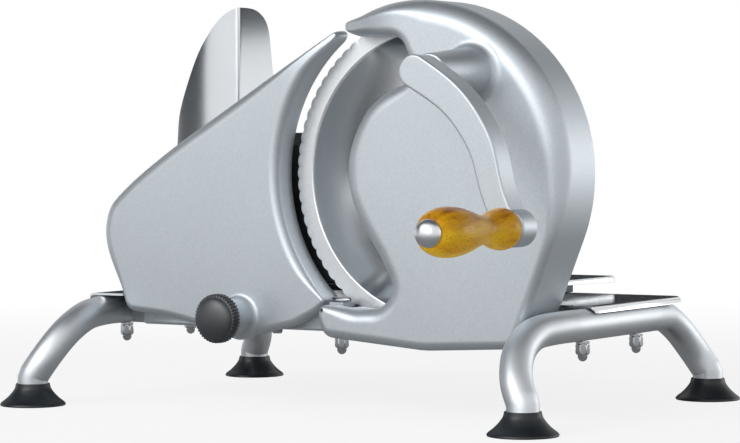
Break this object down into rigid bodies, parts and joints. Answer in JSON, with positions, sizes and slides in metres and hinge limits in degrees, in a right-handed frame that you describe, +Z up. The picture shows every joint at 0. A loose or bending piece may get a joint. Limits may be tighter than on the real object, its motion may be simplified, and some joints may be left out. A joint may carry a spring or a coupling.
{
  "type": "manual food slicer",
  "caption": "Hand-cranked food slicer with a serrated round blade in a silver housing, a sliding steel carriage with a thumb guard, a wooden crank grip and a tube frame on suction feet",
  "frame": {"origin": "on the floor, under the middle of the outer box at rest", "axes": "+Z up, +X towards the crank side, -Y towards the crank grip, +Y towards the carriage"},
  "size_m": [0.3382, 0.336, 0.2165],
  "materials": {
    "silver_paint": "fine metallic silver paint, satin",
    "polished_steel": "polished",
    "brushed_blade_steel": "turned and ground",
    "chrome": "bright plating",
    "black_rubber": "moulded, satin",
    "black_plastic": "moulded",
    "white_nylon": "moulded gear",
    "varnished_wood": "clear varnish",
    "bronze_bush": "sintered bush"
  },
  "bodies": {
    "base": {"left_leg_tube": "polished_steel", "right_leg_tube": "polished_steel", "suction_foot_front_left": "black_rubber", "suction_foot_front_right": "black_rubber", "suction_foot_rear_left": "black_rubber", "suction_foot_rear_right": "black_rubber", "base_plate": "polished_steel", "plate_stud_front_left": "polished_steel", "plate_stud_front_right": "polished_steel", "plate_stud_rear_left": "polished_steel", "plate_stud_rear_right": "polished_steel", "cap_nut_front_left": "chrome", "cap_nut_front_right": "chrome", "cap_nut_rear_left": "chrome", "cap_nut_rear_right": "chrome", "chassis_beam": "silver_paint", "beam_screw_left": "polished_steel", "beam_screw_right": "polished_steel", "beam_hex_screw": "polished_steel", "housing_rear_screw": "polished_steel", "spindle_bush": "bronze_bush", "gear_housing": "silver_paint", "housing_bolt": "polished_steel", "housing_cap_nut": "chrome", "blade_axle": "polished_steel", "idler_pin": "polished_steel", "crank_bush_front": "bronze_bush", "crank_bush_rear": "bronze_bush"},
    "crank": {"crank_shaft": "polished_steel", "crank_gear": "polished_steel", "gear_retaining_ring": "polished_steel", "crank_arm": "silver_paint", "grip_pin": "polished_steel", "grip_cap": "chrome"},
    "grip": {"wooden_grip": "varnished_wood"},
    "idler": {"idler_gear": "white_nylon"},
    "blade": {"round_blade": "brushed_blade_steel", "blade_hub": "polished_steel", "blade_screw": "polished_steel"},
    "stop": {"stop_plate": "silver_paint", "guide_pin_left": "polished_steel", "guide_pin_right": "polished_steel"},
    "knob": {"adjusting_knob": "black_plastic", "adjusting_spindle": "polished_steel"},
    "carriage": {"carriage_plate": "polished_steel", "front_slide_shoe_left": "black_plastic", "front_slide_shoe_right": "black_plastic", "rear_glide_left": "black_plastic", "rear_glide_right": "black_plastic", "thumb_guard": "polished_steel", "guard_rivet_front": "polished_steel", "guard_rivet_rear": "polished_steel"},
    "holder": {"holder_plate": "black_plastic", "holder_grip": "black_plastic", "holder_screw": "polished_steel"}
  },
  "joints": [
    {"name": "crank_turn", "type": "hinge", "parent": "base", "child": "crank", "pos_m": [0.10389, -0.07465, 0.17706], "axis": [0, 1, 0], "continuous": true},
    {"name": "grip_spin", "type": "hinge", "parent": "crank", "child": "grip", "pos_m": [0.15559, -0.08965, 0.10136], "axis": [0, 1, 0], "continuous": true},
    {"name": "idler_spin", "type": "hinge", "parent": "base", "child": "idler", "pos_m": [0.0909, -0.02055, 0.1451], "axis": [0, 1, 0], "continuous": true},
    {"name": "blade_spin", "type": "hinge", "parent": "base", "child": "blade", "pos_m": [0.0657, -0.00235, 0.1262], "axis": [0, 1, 0], "continuous": true},
    {"name": "stop_slide", "type": "slide", "parent": "base", "child": "stop", "axis": [0, -1, 0], "range_m": [0, 0.02]},
    {"name": "knob_turn", "type": "hinge", "parent": "stop", "child": "knob", "pos_m": [-0.046, -0.03715, 0.0492], "axis": [0, 1, 0], "range_deg": [0, 300]},
    {"name": "carriage_travel", "type": "slide", "parent": "base", "child": "carriage", "axis": [1, 0, 0], "range_m": [-0.06, 0.075]},
    {"name": "holder_travel", "type": "slide", "parent": "carriage", "child": "holder", "axis": [0, 1, 0], "range_m": [0, 0.085]}
  ],
  "couplings": [
    {"joint": "idler_spin", "follows": "crank_turn", "ratio": -1.3},
    {"joint": "blade_spin", "follows": "crank_turn", "ratio": 1.1818},
    {"joint": "knob_turn", "follows": "stop_slide", "rad_per_m": 261.79}
  ]
}
